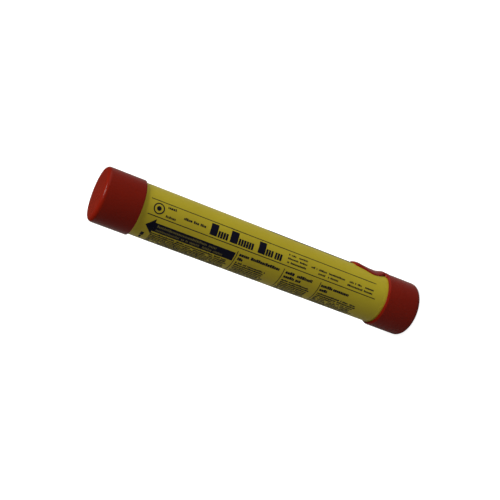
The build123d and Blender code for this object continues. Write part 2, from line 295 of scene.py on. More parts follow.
# turned metal: fine rings round the axis under a soft stain
def buildTurnedGroup():
    tree, given, out = newGroup("turnedLines", {
        "Vector": (0, 0, 0), "Colour": colour(0.7, 0.7, 0.7), "Shade": colour(0.5, 0.5, 0.5),
        "Roughness": 0.3}, skinOutputs)
    rings = noiseNode(tree, scaledPlace(tree, given["Vector"], (40, 40, 4200)), 1.0, 2.0, 0.6)
    stain = noiseNode(tree, given["Vector"], 70.0, 4.0, 0.6)
    blend = mathNode(tree, "MULTIPLY", rangeNode(tree, rings, 0.3, 0.7), rangeNode(tree, stain, 0.3, 0.75))
    change = mathNode(tree, "MULTIPLY", mathNode(tree, "SUBTRACT", stain, 0.4), 0.35)
    feedAll(tree, out, {
        "Colour": mixColour(tree, blend, given["Colour"], given["Shade"]),
        "Roughness": mathNode(tree, "ADD", given["Roughness"], change, True), "Height": rings})
    return tree


mouldGroup = buildMouldGroup()
scuffGroup = buildScuffGroup()
dustGroup = buildDustGroup()
turnedGroup = buildTurnedGroup()


def startMaterial(name):
    material = bpy.data.materials.new(name)
    material.use_nodes = True
    tree = material.node_tree
    tree.nodes.clear()
    out = tree.nodes.new("ShaderNodeOutputMaterial")
    shader = tree.nodes.new("ShaderNodeBsdfPrincipled")
    tree.links.new(shader.outputs["BSDF"], out.inputs["Surface"])
    place = tree.nodes.new("ShaderNodeTexCoord").outputs["Object"]
    return material, tree, shader, place


def addGroup(tree, group, place, values):
    node = tree.nodes.new("ShaderNodeGroup")
    node.node_tree = group
    feedAll(tree, node, {"Vector": place, **values})
    return node.outputs


def addBump(tree, shader, height, strength, distance):
    bump = tree.nodes.new("ShaderNodeBump")
    feedAll(tree, bump, {"Strength": strength, "Distance": distance, "Height": height})
    feedAll(tree, shader, {"Normal": bump.outputs["Normal"]})


# what marks and dust do to a plastic skin: each one's added roughness, a mark's depth beside the skin
# texture, and the height in metres that the texture stands for
skinWear = {"change": 0.18, "markRough": 0.3, "dustRough": 0.4, "markDeep": 1.5, "relief": 0.0004,
            "dust": colour(0.42, 0.39, 0.33)}


# plastic skin with handling marks and a little dust over it
def plasticMaterial(name, main, shade, mark, roughness, scuffs, dust, skin=1800.0, bump=0.12,
                    cloud=30.0, specular=0.25):
    wear = skinWear
    material, tree, shader, place = startMaterial(name)
    base = addGroup(tree, mouldGroup, place, {
        "Colour": main, "Shade": shade, "Cloud Scale": cloud, "Skin Scale": skin,
        "Roughness": roughness, "Roughness Change": wear["change"]})
    marks = addGroup(tree, scuffGroup, place, {"Amount": scuffs})["Mask"]
    film = addGroup(tree, dustGroup, place, {"Amount": dust})["Mask"]
    marked = mixColour(tree, marks, base["Colour"], mark)
    rough = mathNode(tree, "ADD", base["Roughness"], mathNode(tree, "MULTIPLY", marks, wear["markRough"]))
    rough = mathNode(tree, "ADD", rough, mathNode(tree, "MULTIPLY", film, wear["dustRough"]), True)
    feedAll(tree, shader, {"Base Color": mixColour(tree, film, marked, wear["dust"]), "Roughness": rough,
                           "Specular IOR Level": specular})
    markDeep = mathNode(tree, "MULTIPLY", marks, wear["markDeep"])
    addBump(tree, shader, mathNode(tree, "SUBTRACT", base["Height"], markDeep), bump, wear["relief"])
    return material


def metalMaterial(name, main, shade, roughness, bump=0.15):
    material, tree, shader, place = startMaterial(name)
    base = addGroup(tree, turnedGroup, place, {"Colour": main, "Shade": shade, "Roughness": roughness})
    marks = addGroup(tree, scuffGroup, place, {"Amount": 0.5})["Mask"]
    feedAll(tree, shader, {"Base Color": mixColour(tree, marks, base["Colour"], main),
                           "Roughness": base["Roughness"], "Metallic": 1.0})
    addBump(tree, shader, base["Height"], bump, 0.0003)
    return material


# pressed or cast mass: coarse grains, and clouds 2.5 times as wide
def grainMaterial(name, main, shade, roughness, scale, bump=0.5):
    material, tree, shader, place = startMaterial(name)
    base = addGroup(tree, mouldGroup, place, {
        "Colour": main, "Shade": shade, "Cloud Scale": scale * 0.4, "Skin Scale": scale,
        "Roughness": roughness, "Roughness Change": 0.2})
    feedAll(tree, shader, {"Base Color": base["Colour"], "Roughness": base["Roughness"]})
    addBump(tree, shader, base["Height"], bump, 0.0006)
    return material


# the wave texture repeats a band every 0.314 / scale
waveSpan = 0.314


# woven cloth: two crossed sets of bands, one across X and one along Z, pitch in metres
def clothMaterial(name, main, shade, pitch=0.0007):
    material, tree, shader, place = startMaterial(name)
    heights = []
    for direction in ("X", "Z"):
        wave = tree.nodes.new("ShaderNodeTexWave")
        wave.wave_type = "BANDS"
        wave.bands_direction = direction
        feedAll(tree, wave, {"Vector": place, "Scale": waveSpan / pitch, "Distortion": 0.6})
        heights.append(wave.outputs["Fac"])
    base = addGroup(tree, mouldGroup, place, {
        "Colour": main, "Shade": shade, "Cloud Scale": 90.0, "Skin Scale": 2500.0,
        "Roughness": 0.62, "Roughness Change": 0.15})
    feedAll(tree, shader, {"Base Color": base["Colour"], "Roughness": base["Roughness"], "Sheen Weight": 0.3})
    addBump(tree, shader, mathNode(tree, "MAXIMUM", *heights), 0.35, 0.0003)
    return material


# each finish: how it is made, its main colour, its shade and, on plastics, the colour of a mark
finishTable = {
    "tubeYellow": (plasticMaterial, [(0.44, 0.345, 0.02), (0.4, 0.31, 0.018), (0.46, 0.38, 0.05)],
        dict(roughness=0.38, scuffs=0.25, dust=0.012, specular=0.12)),
    "filmYellow": (plasticMaterial, [(0.455, 0.36, 0.021), (0.415, 0.32, 0.018), (0.48, 0.4, 0.05)],
        dict(roughness=0.36, scuffs=0.2, dust=0.008, skin=2600.0, bump=0.05, cloud=22.0, specular=0.12)),
    "printInk": (plasticMaterial, [(0.003, 0.003, 0.012), (0.006, 0.006, 0.016), (0.05, 0.04, 0.02)],
        dict(roughness=0.45, scuffs=0.35, dust=0.0, bump=0.03, specular=0.05)),
    "printReverse": (plasticMaterial, [(0.14, 0.11, 0.02), (0.11, 0.09, 0.02), (0.1, 0.09, 0.05)],
        dict(roughness=0.4, scuffs=0.4, dust=0.02, bump=0.04)),
    "capRed": (plasticMaterial, [(0.19, 0.0088, 0.003), (0.165, 0.007, 0.0026), (0.23, 0.025, 0.015)],
        dict(roughness=0.27, scuffs=0.35, dust=0.001, bump=0.08, specular=0.07)),
    "sealBlack": (plasticMaterial, [(0.012, 0.012, 0.012), (0.02, 0.02, 0.02), (0.05, 0.05, 0.05)],
        dict(roughness=0.5, scuffs=0.1, dust=0.25)),
    "bodyBlack": (plasticMaterial, [(0.018, 0.018, 0.02), (0.028, 0.028, 0.03), (0.08, 0.08, 0.08)],
        dict(roughness=0.48, scuffs=0.5, dust=0.2, bump=0.25)),
    "leverGrey": (plasticMaterial, [(0.42, 0.42, 0.39), (0.36, 0.36, 0.33), (0.52, 0.52, 0.5)],
        dict(roughness=0.42, scuffs=0.5, dust=0.2, bump=0.2)),
    "noseWhite": (plasticMaterial, [(0.58, 0.57, 0.52), (0.5, 0.49, 0.44), (0.64, 0.63, 0.6)],
        dict(roughness=0.42, scuffs=0.4, dust=0.2, bump=0.2)),
    "plugTan": (plasticMaterial, [(0.3, 0.21, 0.11), (0.23, 0.15, 0.07), (0.38, 0.3, 0.2)],
        dict(roughness=0.6, scuffs=0.3, dust=0.2, bump=0.4)),
    "steel": (metalMaterial, [(0.55, 0.55, 0.56), (0.38, 0.38, 0.39)], dict(roughness=0.28)),
    "brass": (metalMaterial, [(0.62, 0.43, 0.16), (0.42, 0.27, 0.09)], dict(roughness=0.3)),
    "aluminium": (metalMaterial, [(0.62, 0.63, 0.64), (0.46, 0.47, 0.48)], dict(roughness=0.36)),
    "foil": (metalMaterial, [(0.68, 0.68, 0.68), (0.52, 0.52, 0.52)], dict(roughness=0.22, bump=0.05)),
    "graphite": (grainMaterial, [(0.045, 0.045, 0.048), (0.025, 0.025, 0.028)],
        dict(roughness=0.55, scale=1400.0, bump=0.3)),
    "grainGrey": (grainMaterial, [(0.1, 0.095, 0.085), (0.06, 0.055, 0.05)],
        dict(roughness=0.75, scale=1100.0)),
    "candlePale": (grainMaterial, [(0.42, 0.38, 0.31), (0.33, 0.29, 0.23)],
        dict(roughness=0.8, scale=1300.0)),
    "foamGrey": (grainMaterial, [(0.13, 0.13, 0.14), (0.06, 0.06, 0.065)],
        dict(roughness=0.9, scale=700.0, bump=0.8)),
    "felt": (grainMaterial, [(0.36, 0.33, 0.27), (0.28, 0.25, 0.2)],
        dict(roughness=0.95, scale=1600.0, bump=0.7)),
    "chuteCloth": (clothMaterial, [(0.62, 0.13, 0.015), (0.48, 0.09, 0.01)], {}),
    "tapeWhite": (clothMaterial, [(0.5, 0.48, 0.42), (0.4, 0.38, 0.33)], dict(pitch=0.0005)),
}
finishes = {name: make(name, *[colour(*c) for c in colours], **settings)
            for name, (make, colours, settings) in finishTable.items()}
print("materials made:", len(finishes))


# the camera's place in metres and its axes, the pale floor, and the two soft lights with the
# directions they come from
studio = {
    "lens": 73.476,
    "sensor": 36.0,
    "clip": (0.01, 200.0),
    "right": (0.354681, -0.319065, -0.878862),
    "up": (0.934987, 0.120212, 0.333689),
    "back": (-0.000819, -0.940078, 0.340958),
    "place": (0.0, -0.78475, 0.43914),
    "floorSize": 60.0,
    "floorWhite": 0.35,
    "floorGlow": 0.94,
    "world": (0.065, 0.05, 0.035),
    "keyLight": {"from": (0.20, -0.17, 0.96), "strength": 4.0, "angle": 26.0, "colour": (0.98, 1.0, 0.94)},
    "fillLight": {"from": (1.0, -0.15, 0.10), "strength": 1.4, "angle": 70.0, "colour": (0.92, 1.0, 0.92)},
}


# the bright shader for rays from the camera, and the dim one for every other ray
def cameraSwitch(tree, dim, bright):
    path = tree.nodes.new("ShaderNodeLightPath")
    mix = tree.nodes.new("ShaderNodeMixShader")
    tree.links.new(path.outputs["Is Camera Ray"], mix.inputs["Fac"])
    tree.links.new(dim, mix.inputs[1])
    tree.links.new(bright, mix.inputs[2])
    return mix.outputs["Shader"]


def addSun(name, s):
    sun = bpy.data.lights.new(name, "SUN")
    sun.energy = s["strength"]
    sun.color = s["colour"]
    sun.angle = np.radians(s["angle"])
    lamp = bpy.data.objects.new(name, sun)
    lamp.rotation_mode = "QUATERNION"
    lamp.rotation_quaternion = Vector(s["from"]).to_track_quat("Z", "Y")
    bpy.context.scene.collection.objects.link(lamp)


# the backdrop is plain white to the camera and dim to the object
def makeWorld(s):
    world = bpy.data.worlds.new("studio")
    world.use_nodes = True
    tree = world.node_tree
    tree.nodes.clear()
    out = tree.nodes.new("ShaderNodeOutputWorld")
    dim, bright = tree.nodes.new("ShaderNodeBackground"), tree.nodes.new("ShaderNodeBackground")
    dim.inputs["Color"].default_value = s["world"] + (1,)
    bright.inputs["Color"].default_value = (1, 1, 1, 1)
    seen = cameraSwitch(tree, dim.outputs["Background"], bright.outputs["Background"])
    tree.links.new(seen, out.inputs["Surface"])
    bpy.context.scene.world = world


# the floor: pale and softly lit, with a glow for the camera, and clear when seen from below
def makeFloor(s):
    half = s["floorSize"] / 2
    mesh = bpy.data.meshes.new("floor")
    corners = [(-half, -half, 0), (half, -half, 0), (half, half, 0), (-half, half, 0)]
    mesh.from_pydata(corners, [], [(0, 1, 2, 3)])
    floor = bpy.data.objects.new("floor", mesh)
    bpy.context.scene.collection.objects.link(floor)
    material = bpy.data.materials.new("floorPale")
    material.use_nodes = True
    tree = material.node_tree
    tree.nodes.clear()
    out = tree.nodes.new("ShaderNodeOutputMaterial")
    plain, glow = tree.nodes.new("ShaderNodeBsdfDiffuse"), tree.nodes.new("ShaderNodeEmission")
    both, clear = tree.nodes.new("ShaderNodeAddShader"), tree.nodes.new("ShaderNodeBsdfTransparent")
    side, mix = tree.nodes.new("ShaderNodeNewGeometry"), tree.nodes.new("ShaderNodeMixShader")
    plain.inputs["Color"].default_value = (s["floorWhite"],) * 3 + (1,)
    glow.inputs["Strength"].default_value = s["floorGlow"]
    tree.links.new(plain.outputs["BSDF"], both.inputs[0])
    tree.links.new(glow.outputs["Emission"], both.inputs[1])
    seen = cameraSwitch(tree, plain.outputs["BSDF"], both.outputs["Shader"])
    tree.links.new(side.outputs["Backfacing"], mix.inputs["Fac"])
    tree.links.new(seen, mix.inputs[1])
    tree.links.new(clear.outputs["BSDF"], mix.inputs[2])
    tree.links.new(mix.outputs["Shader"], out.inputs["Surface"])
    mesh.materials.append(material)
    floor.location.z = cadLow.z


def makeStudio(s):
    camera = bpy.data.cameras.new("camera")
    camera.lens = s["lens"]
    camera.sensor_width = s["sensor"]
    camera.clip_start, camera.clip_end = s["clip"]
    holder = bpy.data.objects.new("camera", camera)
    columns = np.array([s["right"], s["up"], s["back"]]).T
    placed = np.eye(4)
    placed[:3, :3] = columns / np.linalg.norm(columns, axis=0)
    placed[:3, 3] = s["place"]
    bpy.context.scene.collection.objects.link(holder)
    holder.matrix_world = Matrix(placed.tolist())
    bpy.context.scene.camera = holder
    bpy.context.scene.view_settings.view_transform = "Standard"
    addSun("keyLight", s["keyLight"])
    addSun("fillLight", s["fillLight"])
    makeWorld(s)
    makeFloor(s)


makeStudio(studio)
print("studio made")


# a CAD node's outer radius, foot and top, in mm
def nodeSize(node):
    low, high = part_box(node)
    return high.x / mm, low.z / mm, high.z / mm


tubeR, tubeLow, tubeHigh = nodeSize("launch_tube")
topR, topLow, topHigh = nodeSize("top_cap")
footR, footHigh = nodeSize("bottom_cap")[::2]
filmR, filmLow, filmHigh = nodeSize("printed_label")


tubeShape = {
    "bore": 20.0, "footEdge": 0.3, "mouthEdge": 0.4, "segments": 220,
    "recess": filmR - 0.25, "recessGap": 0.05, "recessEdge": 0.05,
    "groove": 20.6, "grooveHalf": 0.55, "grooveEdge": 0.1,
    "seals": {"bottom_seal_ring": 25.0, "top_seal_ring": 273.0}, "sealMiddle": 21.08, "sealRound": 0.45,
}


# the tube's wall, with a shallow recess for the film and a groove for a seal ring near each end
def makeTube(s):
    def notch(r, z0, z1, edge):
        return [(tubeR, z0, edge), (r, z0, edge), (r, z1, edge), (tubeR, z1, edge)]

    gap, half = s["recessGap"], s["grooveHalf"]
    lowGroove, highGroove = [notch(s["groove"], z - half, z + half, s["grooveEdge"])
                             for z in s["seals"].values()]
    corners = [
        (s["bore"], tubeLow, s["footEdge"]), (tubeR, tubeLow, s["footEdge"]),
        *lowGroove, *notch(s["recess"], filmLow - gap, filmHigh + gap, s["recessEdge"]), *highGroove,
        (tubeR, tubeHigh, s["mouthEdge"]), (s["bore"], tubeHigh, s["mouthEdge"]),
    ]
    turnedPiece("launchTube", "launch_tube", "launcher", finishes["tubeYellow"], "tube_yellow", corners,
                s["segments"])
    for node, height in s["seals"].items():
        ring = ovalSection(s["sealMiddle"], height, s["sealRound"], s["sealRound"], 16) * mm
        piece = gridMesh("sealRing", [turnedGrid(ring, 180)], wrapRows=True, wrapColumns=True, sharp=80)
        finishPiece(piece, "launcher", finishes["sealBlack"], "seal_black", node)


filmShape = {"thick": 0.22, "endThin": 0.05, "seamAngle": 180.0, "seamDip": 0.03, "seamWide": 1.4,
             "rows": 45, "columns": 240}


# the film is a thin ring with a shallow seam at the back: its outer radius is
# r(a) = R - dip * exp(-(g / w)^2), where g is the angle from the seam and w the seam's width
def makeFilm(s):
    a = np.linspace(0, 360, s["columns"], endpoint=False)
    gap = np.abs((a - s["seamAngle"] + 180) % 360 - 180)
    dip = s["seamDip"] * np.exp(-((gap / s["seamWide"]) ** 2))
    z = np.linspace(filmLow, filmHigh, s["rows"])
    outer = np.tile(filmR - dip, (s["rows"], 1))
    outer[[0, -1]] -= s["endThin"]
    inner = np.full_like(outer, filmR - s["thick"])
    grid = around(np.concatenate([outer, inner]), np.radians(a), np.concatenate([z, z[::-1]])[:, None]) * mm
    piece = gridMesh("labelFilm", [grid], wrapRows=True, wrapColumns=True)
    finishPiece(piece, "launcher", finishes["filmYellow"], "label_film", "printed_label")


makeTube(tubeShape)
makeFilm(filmShape)
print("tube and film made")


# print lies on the film in patches between heights z0 > z1 (mm) and angles a0 > a1 (degrees from -Y
# towards +X). Its lift and thickness are in mm, and no facet is wider than "facet" degrees
printShape = {"lift": 0.03, "thick": 0.02, "facet": 1.5}


# points on the film, in metres, at radius = film radius + lift
def wrapped(z, a, lift=1.0):
    return around(filmR + printShape["lift"] * lift, np.radians(a), z) * mm


# an inked piece: its faces turned away from the axis, given a thickness towards the film
def inkPiece(name, mesh, material, merge=False):
    work = bmesh.new()
    work.from_mesh(mesh)
    if merge:
        bmesh.ops.remove_doubles(work, verts=work.verts, dist=weld / 2)
    for face in work.faces:
        middle = face.calc_center_median()
        if face.normal.dot(Vector((middle.x, middle.y, 0))) < 0:
            face.normal_flip()
    work.to_mesh(mesh)
    work.free()
    piece = bpy.data.objects.new(name, mesh)
    bpy.context.scene.collection.objects.link(piece)
    solid = piece.modifiers.new("thickness", "SOLIDIFY")
    solid.thickness = printShape["thick"] * mm
    solid.offset = -1.0
    finishPiece(piece, "launcher", material, "label_film")


# rows of (z0, z1, a0, a1) become strips that follow the film, with equal steps of angle
def wrapPatches(name, patches, material, lift=1.0):
    z0, z1, a0, a1 = np.asarray(patches, float).T
    columns = int(np.ceil(np.abs(a1 - a0).max() / printShape["facet"])) + 1
    a = a0[:, None] + (a1 - a0)[:, None] * np.linspace(0, 1, columns)
    points = wrapped(np.stack([z0, z1], 1)[:, :, None], a[:, None, :], lift)
    index = np.arange(len(z0) * 2 * columns).reshape(len(z0), 2, columns)
    faces = np.stack([index[:, 0, :-1], index[:, 1, :-1], index[:, 1, 1:], index[:, 0, 1:]], -1)
    mesh = bpy.data.meshes.new(name)
    mesh.from_pydata(points.reshape(-1, 3).tolist(), [], faces.reshape(-1, 4).tolist())
    inkPiece(name, mesh, material)


# a tick's width as a share of the usual one, the share of ticks that are tall, what the others lose
# in height, and how many spare ticks a line is given before it is cut to length
tickShape = {"widths": (0.6, 1.35), "tall": 0.3, "loss": 0.22, "spare": 1.25}


# stand-in for a line of print: uneven ticks that run down from z0 to z1, with gaps between words.
# Each starts at z0 minus the widths and gaps before it
def tickRow(rng, z0, z1, top, bottom, wide, gap, word):
    count = max(1, int((z0 - z1) / (wide + gap) * tickShape["spare"]))
    widths = wide * rng.uniform(*tickShape["widths"], count)
    starts = z0 - np.concatenate([[0], np.cumsum(widths + gap)[:-1]])
    ends = starts - widths
    kept = (ends >= z1) & (rng.random(count) > word)
    loss = np.where(rng.random(count) < tickShape["tall"], 0.0, tickShape["loss"]) * (top - bottom)
    return np.stack([starts, ends, top - loss, np.full(count, bottom)], 1)[kept]


# a block of such lines, one under another, each short of z1 by a random share up to "ragged"
def tickBlock(rng, z0, z1, top, bottom, pitch, height, ragged, **ticks):
    rows = []
    for line in np.arange(top, bottom + height, -pitch):
        end = z1 + (z0 - z1) * ragged * rng.random()
        rows.append(tickRow(rng, z0, end, line, line - height, **ticks))
    return np.concatenate(rows)


# rules and data are (z0, z1, a0, a1), a title word is (start, end of its tall bar, end), and a
# heading is (z0, z1, line)
labelShape = {
    "seed": 11,
    "rules": [(251.3, 45.0, 33.4, 31.5), (251.0, 43.0, -1.0, -2.9), (147.0, 66.0, 87.0, 75.5)],
    "columns": [171.0, 128.6, 94.2], "columnHalf": 0.3, "columnEnds": (-9.0, -150.0),
    "title": [(198.8, 191.8, 183.0), (181.0, 173.6, 158.6), (155.8, 148.8, 142.6), (140.6, 140.6, 132.2)],
    "titleTop": 28.3, "titleSmall": 17.0, "titleFoot": 2.6,
    "barWide": 1.8, "barPitch": 2.3, "barGap": 0.7, "barTail": 1.6,
    "smallLine": [(222.0, 214.8), (213.6, 208.6), (207.8, 202.4)], "smallEnds": (17.4, 11.6),
    "smallTicks": {"wide": 1.1, "gap": 0.24, "word": 0.03},
    "data": [(128.8, 121.0, 25.4, 21.6), (119.4, 110.6, 25.4, 21.6), (129.0, 109.8, 17.0, 13.0),
             (128.8, 110.2, 9.0, 4.4), (107.0, 101.4, 17.6, 13.0), (99.8, 91.4, 17.0, 12.6),
             (90.2, 73.4, 17.0, 12.6), (99.4, 91.6, 8.8, 4.4), (90.2, 79.8, 8.8, 4.4),
             (70.2, 57.4, 17.0, 12.6), (55.0, 45.2, 17.0, 12.6), (71.4, 47.0, 8.8, 4.4)],
    "dataTicks": {"wide": 1.0, "gap": 0.22, "word": 0.05},
    "headings": [(169.0, 160.0, 0), (158.6, 132.2, 0), (169.0, 163.8, 1), (126.6, 117.0, 0),
                 (115.8, 101.0, 0), (126.6, 116.6, 1), (115.6, 110.6, 1), (93.0, 82.2, 0),
                 (81.4, 65.8, 0), (92.6, 84.2, 1)],
    "headTop": -11.7, "headFoot": -18.6, "headPitch": 10.4,
    "headTicks": {"wide": 1.5, "gap": 0.2, "word": 0.03},
    "bodies": [(169.0, 139.0), (126.6, 98.6), (92.6, 53.0)], "bodyEnds": (-33.5, -148.0),
    "bodyLines": {"pitch": 5.8, "height": 4.3, "ragged": 0.12, "wide": 0.95, "gap": 0.16, "word": 0.09},
}


# the front: long rules, a title of plain bars, a data block, and columns with headings
def makePrint(s):
    rng = np.random.default_rng(s["seed"])
    ink = finishes["printInk"]
    wrapPatches("printRules", s["rules"], ink)
    half = s["columnHalf"]
    wrapPatches("columnRules", [(z + half, z - half, *s["columnEnds"]) for z in s["columns"]], ink)

    top, small, foot = s["titleTop"], s["titleSmall"], s["titleFoot"]
    bars = []
    for start, middle, end in s["title"]:
        if start > middle:
            bars.append((start, middle + s["barGap"], top, foot))
        places = np.arange(middle, end + s["barTail"], -s["barPitch"])
        bars += [(z, z - s["barWide"], small, foot) for z in places]
    wrapPatches("printTitle", bars, ink)

    rows = [tickRow(rng, *line, *s["smallEnds"], **s["smallTicks"]) for line in s["smallLine"]]
    rows += [tickRow(rng, *line, **s["dataTicks"]) for line in s["data"]]
    wrapPatches("printData", np.concatenate(rows), ink)

    heads = []
    for z0, z1, line in s["headings"]:
        drop = s["headPitch"] * line
        heads.append(tickRow(rng, z0, z1, s["headTop"] - drop, s["headFoot"] - drop, **s["headTicks"]))
    wrapPatches("printHeadings", np.concatenate(heads), ink)
    bodies = [tickBlock(rng, *body, *s["bodyEnds"], **s["bodyLines"]) for body in s["bodies"]]
    wrapPatches("printInstructions", np.concatenate(bodies), ink)
    print("print blocks made")


arrowShape = {
    "tip": 249.0, "barb": 242.2, "end": 172.4, "middle": -25.0, "headHalf": 18.3, "shaftHalf": 10.4,
    "split": 0.02, "seed": 5,
    "text": [(239.5, 188.5, -18.2, -23.4), (239.5, 181.5, -27.0, -32.2)], "textLift": 2.6,
    "textTicks": {"wide": 0.8, "gap": 0.42, "word": 0.08},
    "under": (242.0, 174.0, -37.8, -122.0),
    "underLines": {"pitch": 5.4, "height": 4.2, "ragged": 0.05, "wide": 0.95, "gap": 0.14, "word": 0.06},
}


# the arrow: the head widens evenly from the tip to the barbs, and the shaft is a straight band that
# starts a hair below them
def makeArrow(s):
    ink = finishes["printInk"]
    share = np.linspace(0, 1, 15)[:, None]
    across = np.linspace(-1, 1, 29)[None, :]
    head = wrapped(s["tip"] + (s["barb"] - s["tip"]) * share, s["middle"] - across * s["headHalf"] * share)
    shaft = wrapped(s["barb"] - s["split"] + (s["end"] - s["barb"]) * share,
                    s["middle"] - across * s["shaftHalf"])
    inkPiece("printArrow", gridData("printArrow", [head, shaft]), ink, merge=True)

    rng = np.random.default_rng(s["seed"])
    rows = [tickRow(rng, *line, **s["textTicks"]) for line in s["text"]]
    wrapPatches("arrowPrint", np.concatenate(rows), finishes["printReverse"], lift=s["textLift"])
    wrapPatches("printWarnings", tickBlock(rng, *s["under"], **s["underLines"]), ink)


markShape = {
    "z": 243.4, "a": 15.6, "outer": 4.6, "ring": 1.0, "disc": 1.9, "hub": 0.01, "seed": 3,
    "lines": [(236.6, 228.0, 27.6, 22.0, 1.3, 0.35), (236.6, 228.0, 8.0, 2.8, 0.8, 0.3)],
    "blocks": [(248.9, 246.4, -46.0, -58.0), (248.4, 246.9, -59.5, -71.0)],
}


# a plain signal mark, a disc in a ring: z = z0 + q cos t and a = a0 + q sin t / film radius
def makeMark(s):
    ink = finishes["printInk"]
    degree = np.degrees(1 / filmR)
    turn = np.linspace(0, 2 * np.pi, 65)[None, :]
    grids = []
    for outer, inner in ((s["outer"], s["outer"] - s["ring"]), (s["disc"], s["hub"])):
        q = np.linspace(outer, inner, 6)[:, None]
        grids.append(wrapped(s["z"] + q * np.cos(turn), s["a"] + q * np.sin(turn) * degree))
    inkPiece("printMark", gridData("printMark", grids), ink, merge=True)
    rng = np.random.default_rng(s["seed"])
    rows = [tickRow(rng, *line, word=0.0) for line in s["lines"]]
    wrapPatches("markLines", np.concatenate(rows), ink)
    wrapPatches("markBlocks", s["blocks"], ink)


# each step's drawing is a plain tube with two caps and an arrow beside it, as heights from the
# frame's middle and angles
backShape = {
    "steps": (248.0, 214.0, 180.0), "stepWide": 28.0, "stepTop": 82.0, "stepFoot": 148.0,
    "sideWide": 0.5, "endInset": 0.4, "endNear": 0.05, "endFar": 1.3,
    "drawing": [(9, -5, 108, 121), (11.5, 9.6, 106.5, 122.5), (-5.6, -7.5, 106.5, 122.5),
                (6, -3, 130, 132.5), (7.5, 6.05, 128.6, 133.9)],
    "panel": (136.0, 66.6, 150.0, 93.0), "seed": 8,
    "panelLines": {"pitch": 7.7, "height": 4.0, "ragged": 0.1, "wide": 0.75, "gap": 0.28, "word": 0.14},
}


# the back: framed step pictures and a block of print
def makeBackPrint(s):
    rng = np.random.default_rng(s["seed"])
    ink = finishes["printInk"]
    top, foot, wide = s["stepTop"], s["stepFoot"], s["sideWide"]
    inset, near, far = s["endInset"], s["endNear"], s["endFar"]
    sides, pictures = [], []
    for start in s["steps"]:
        end = start - s["stepWide"]
        middle = (start + end) / 2
        sides += [(start, start - wide, top, foot), (end + wide, end, top, foot)]
        pictures += [(start - inset, end + inset, top + far, top + near),
                     (start - inset, end + inset, foot - near, foot - far)]
        pictures += [(middle + z0, middle + z1, a0, a1) for z0, z1, a0, a1 in s["drawing"]]
    wrapPatches("stepFrames", sides, ink)
    wrapPatches("stepPictures", pictures, ink)
    wrapPatches("printBackPanel", tickBlock(rng, *s["panel"], **s["panelLines"]), ink)


makePrint(labelShape)
makeArrow(arrowShape)
makeMark(markShape)
makeBackPrint(backShape)
print("printing made")


footShape = {
    "corner": 6.8, "ledge": (4.4, 3.2), "ledgeRound": 0.4, "mouthDrop": 0.6, "mouthRound": 0.1,
    "dish": 0.35, "dishR": 12.0, "dishRound": 1.5, "standR": 13.4, "standRound": 1.0,
    "bore": 21.6, "boreDrop": 12.0, "boreRound": 1.0, "floor": 2.0, "innerCorner": 4.5,
    "bevelled": {"low": 1.9, "inner": 22.5, "rise": 0.0, "edge": 0.35},
    "square": {"low": 0.45, "inner": footR - 0.4, "rise": 0.28, "edge": 0.25},
    "tabAngle": 90.0, "bossHalf": 23.0, "bossFade": 3.0, "segments": 240,
}


# the bottom cap: a bevelled lip that turns square in a boss near the tab. The two profiles are
# blended by w = 3 q^2 - 2 q^3, where q falls from 1 to 0 with the angle from the tab
def makeBottomCap(s):
    def profile(low, inner, rise, edge):
        outer, (under, over) = footR + rise, s["ledge"]
        return roundedProfile([
            (0, s["dish"], 0), (s["dishR"], s["dish"], s["dishRound"]), (s["standR"], 0, s["standRound"]),
            (footR, 0, s["corner"]), (footR, footHigh - under, s["ledgeRound"]),
            (outer, footHigh - over, s["ledgeRound"]), (outer, footHigh - low, edge),
            (inner, footHigh, edge), (s["bore"], footHigh - s["mouthDrop"], s["mouthRound"]),
            (s["bore"], footHigh - s["boreDrop"], s["boreRound"]),
            (s["bore"], s["floor"], s["innerCorner"]), (0, s["floor"], 0)], steps=12)

    away = np.abs(np.linspace(0, 360, s["segments"], endpoint=False) - s["tabAngle"])
    q = np.clip((s["bossHalf"] + s["bossFade"] - away) / (2 * s["bossFade"]), 0, 1)
    weight = (3 * q**2 - 2 * q**3)[None, :, None]
    bevelled, square = [turnedGrid(profile(**s[kind]), s["segments"]) for kind in ("bevelled", "square")]
    piece = gridMesh("bottomCap", [bevelled * (1 - weight) + square * weight], wrapColumns=True)
    finishPiece(piece, "bottom_cap", finishes["capRed"], "cap_red", "bottom_cap")


headShape = {
    "corner": 3.4, "dome": 0.3, "lip": 1.0, "bore": 21.6, "roof": 2.0, "roofRound": 0.15, "segments": 240,
    "gate": [(0, 0.25, 0), (0.9, 0.25, 0.2), (1.1, 0.02, 0.2), (1.5, 0, 0.2)],
    "mouthFlare": 0.15, "mouthRound": 0.1, "mouthHigh": 0.8, "boreRound": 0.2,
}


# the top cap: a faint gate mark, given as depths below the end, in a slightly domed end
def makeTopCap(s):
    corners = [(r, topHigh - deep, edge) for r, deep, edge in s["gate"]] + [
        (topR, topHigh - s["dome"], s["corner"]), (topR, topLow, s["lip"]),
        (s["bore"] + s["mouthFlare"], topLow, s["mouthRound"]),
        (s["bore"], topLow + s["mouthHigh"], s["boreRound"]),
        (s["bore"], topHigh - s["roof"], s["roofRound"]), (0, topHigh - s["roof"], 0)]
    profile = roundedProfile(corners, steps=12)
    piece = gridMesh("topCap", [turnedGrid(profile, s["segments"])], wrapColumns=True)
    finishPiece(piece, "top_cap", finishes["capRed"], "cap_red", "top_cap")


